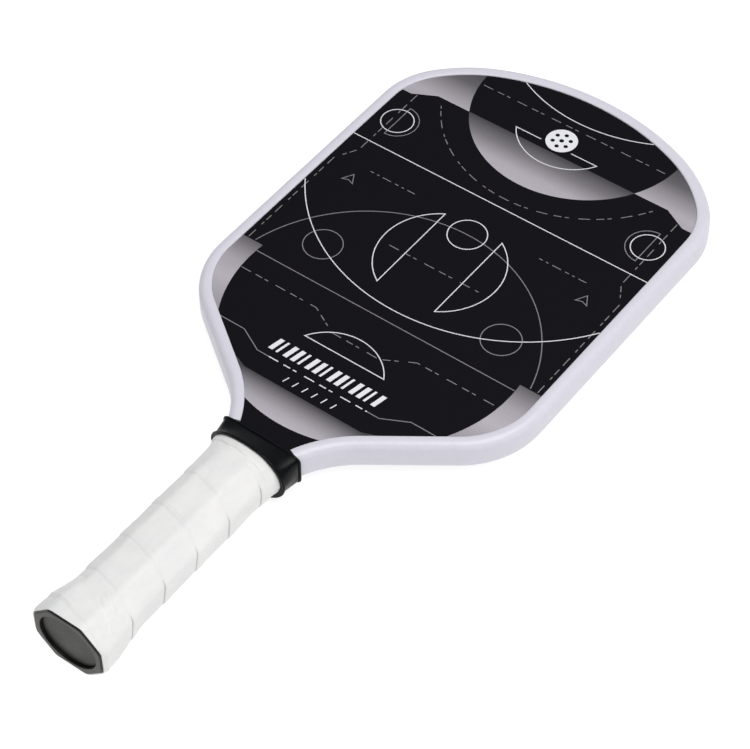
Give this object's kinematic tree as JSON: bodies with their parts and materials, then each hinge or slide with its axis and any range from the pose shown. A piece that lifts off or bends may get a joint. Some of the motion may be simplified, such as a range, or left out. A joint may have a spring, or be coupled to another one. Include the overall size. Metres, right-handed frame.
{
  "type": "pickleball paddle",
  "caption": "Elongated pickleball paddle with a flat honeycomb blade, soft edge guard, cushioned wrapped handle, flared butt cap and rubber collar.",
  "frame": {"origin": "centre of the paddle's overall box, on its middle plane, half way between butt and tip", "axes": "+X across the blade, +Y along the paddle from the butt to the tip, +Z out of the front face"},
  "size_m": [0.1906, 0.419, 0.0354],
  "materials": {
    "core": "translucent polypropylene honeycomb",
    "foam": "expanded foam",
    "adhesive": "cured adhesive film",
    "carbon": "cured carbon fibre sheet",
    "print": "matt black printed film with a fine grit and silver fades",
    "guard": "soft satin, pale lavender white",
    "tape": "thin tape",
    "shell": "moulded foam plastic",
    "cap": "dark grey moulded plastic",
    "end_plate": "satin dark grey",
    "staple": "plain steel",
    "wrap": "white cushioned synthetic wrap",
    "collar": "black satin rubber"
  },
  "bodies": {
    "root": {"honeycomb_core": "core", "edge_foam": "foam", "front_core_bond": "adhesive", "rear_core_bond": "adhesive", "front_face_sheet": "carbon", "rear_face_sheet": "carbon", "front_printed_film": "print", "rear_printed_film": "print", "edge_guard": "guard", "edge_guard_tape": "tape", "front_handle_shell": "shell", "rear_handle_shell": "shell", "butt_cap": "cap", "butt_cap_staples": "staple", "butt_end_plate": "end_plate", "end_plate_bond": "adhesive", "grip_underlay_tape": "tape", "grip_wrap": "wrap", "finishing_tape": "tape", "grip_collar": "collar"}
  },
  "joints": []
}
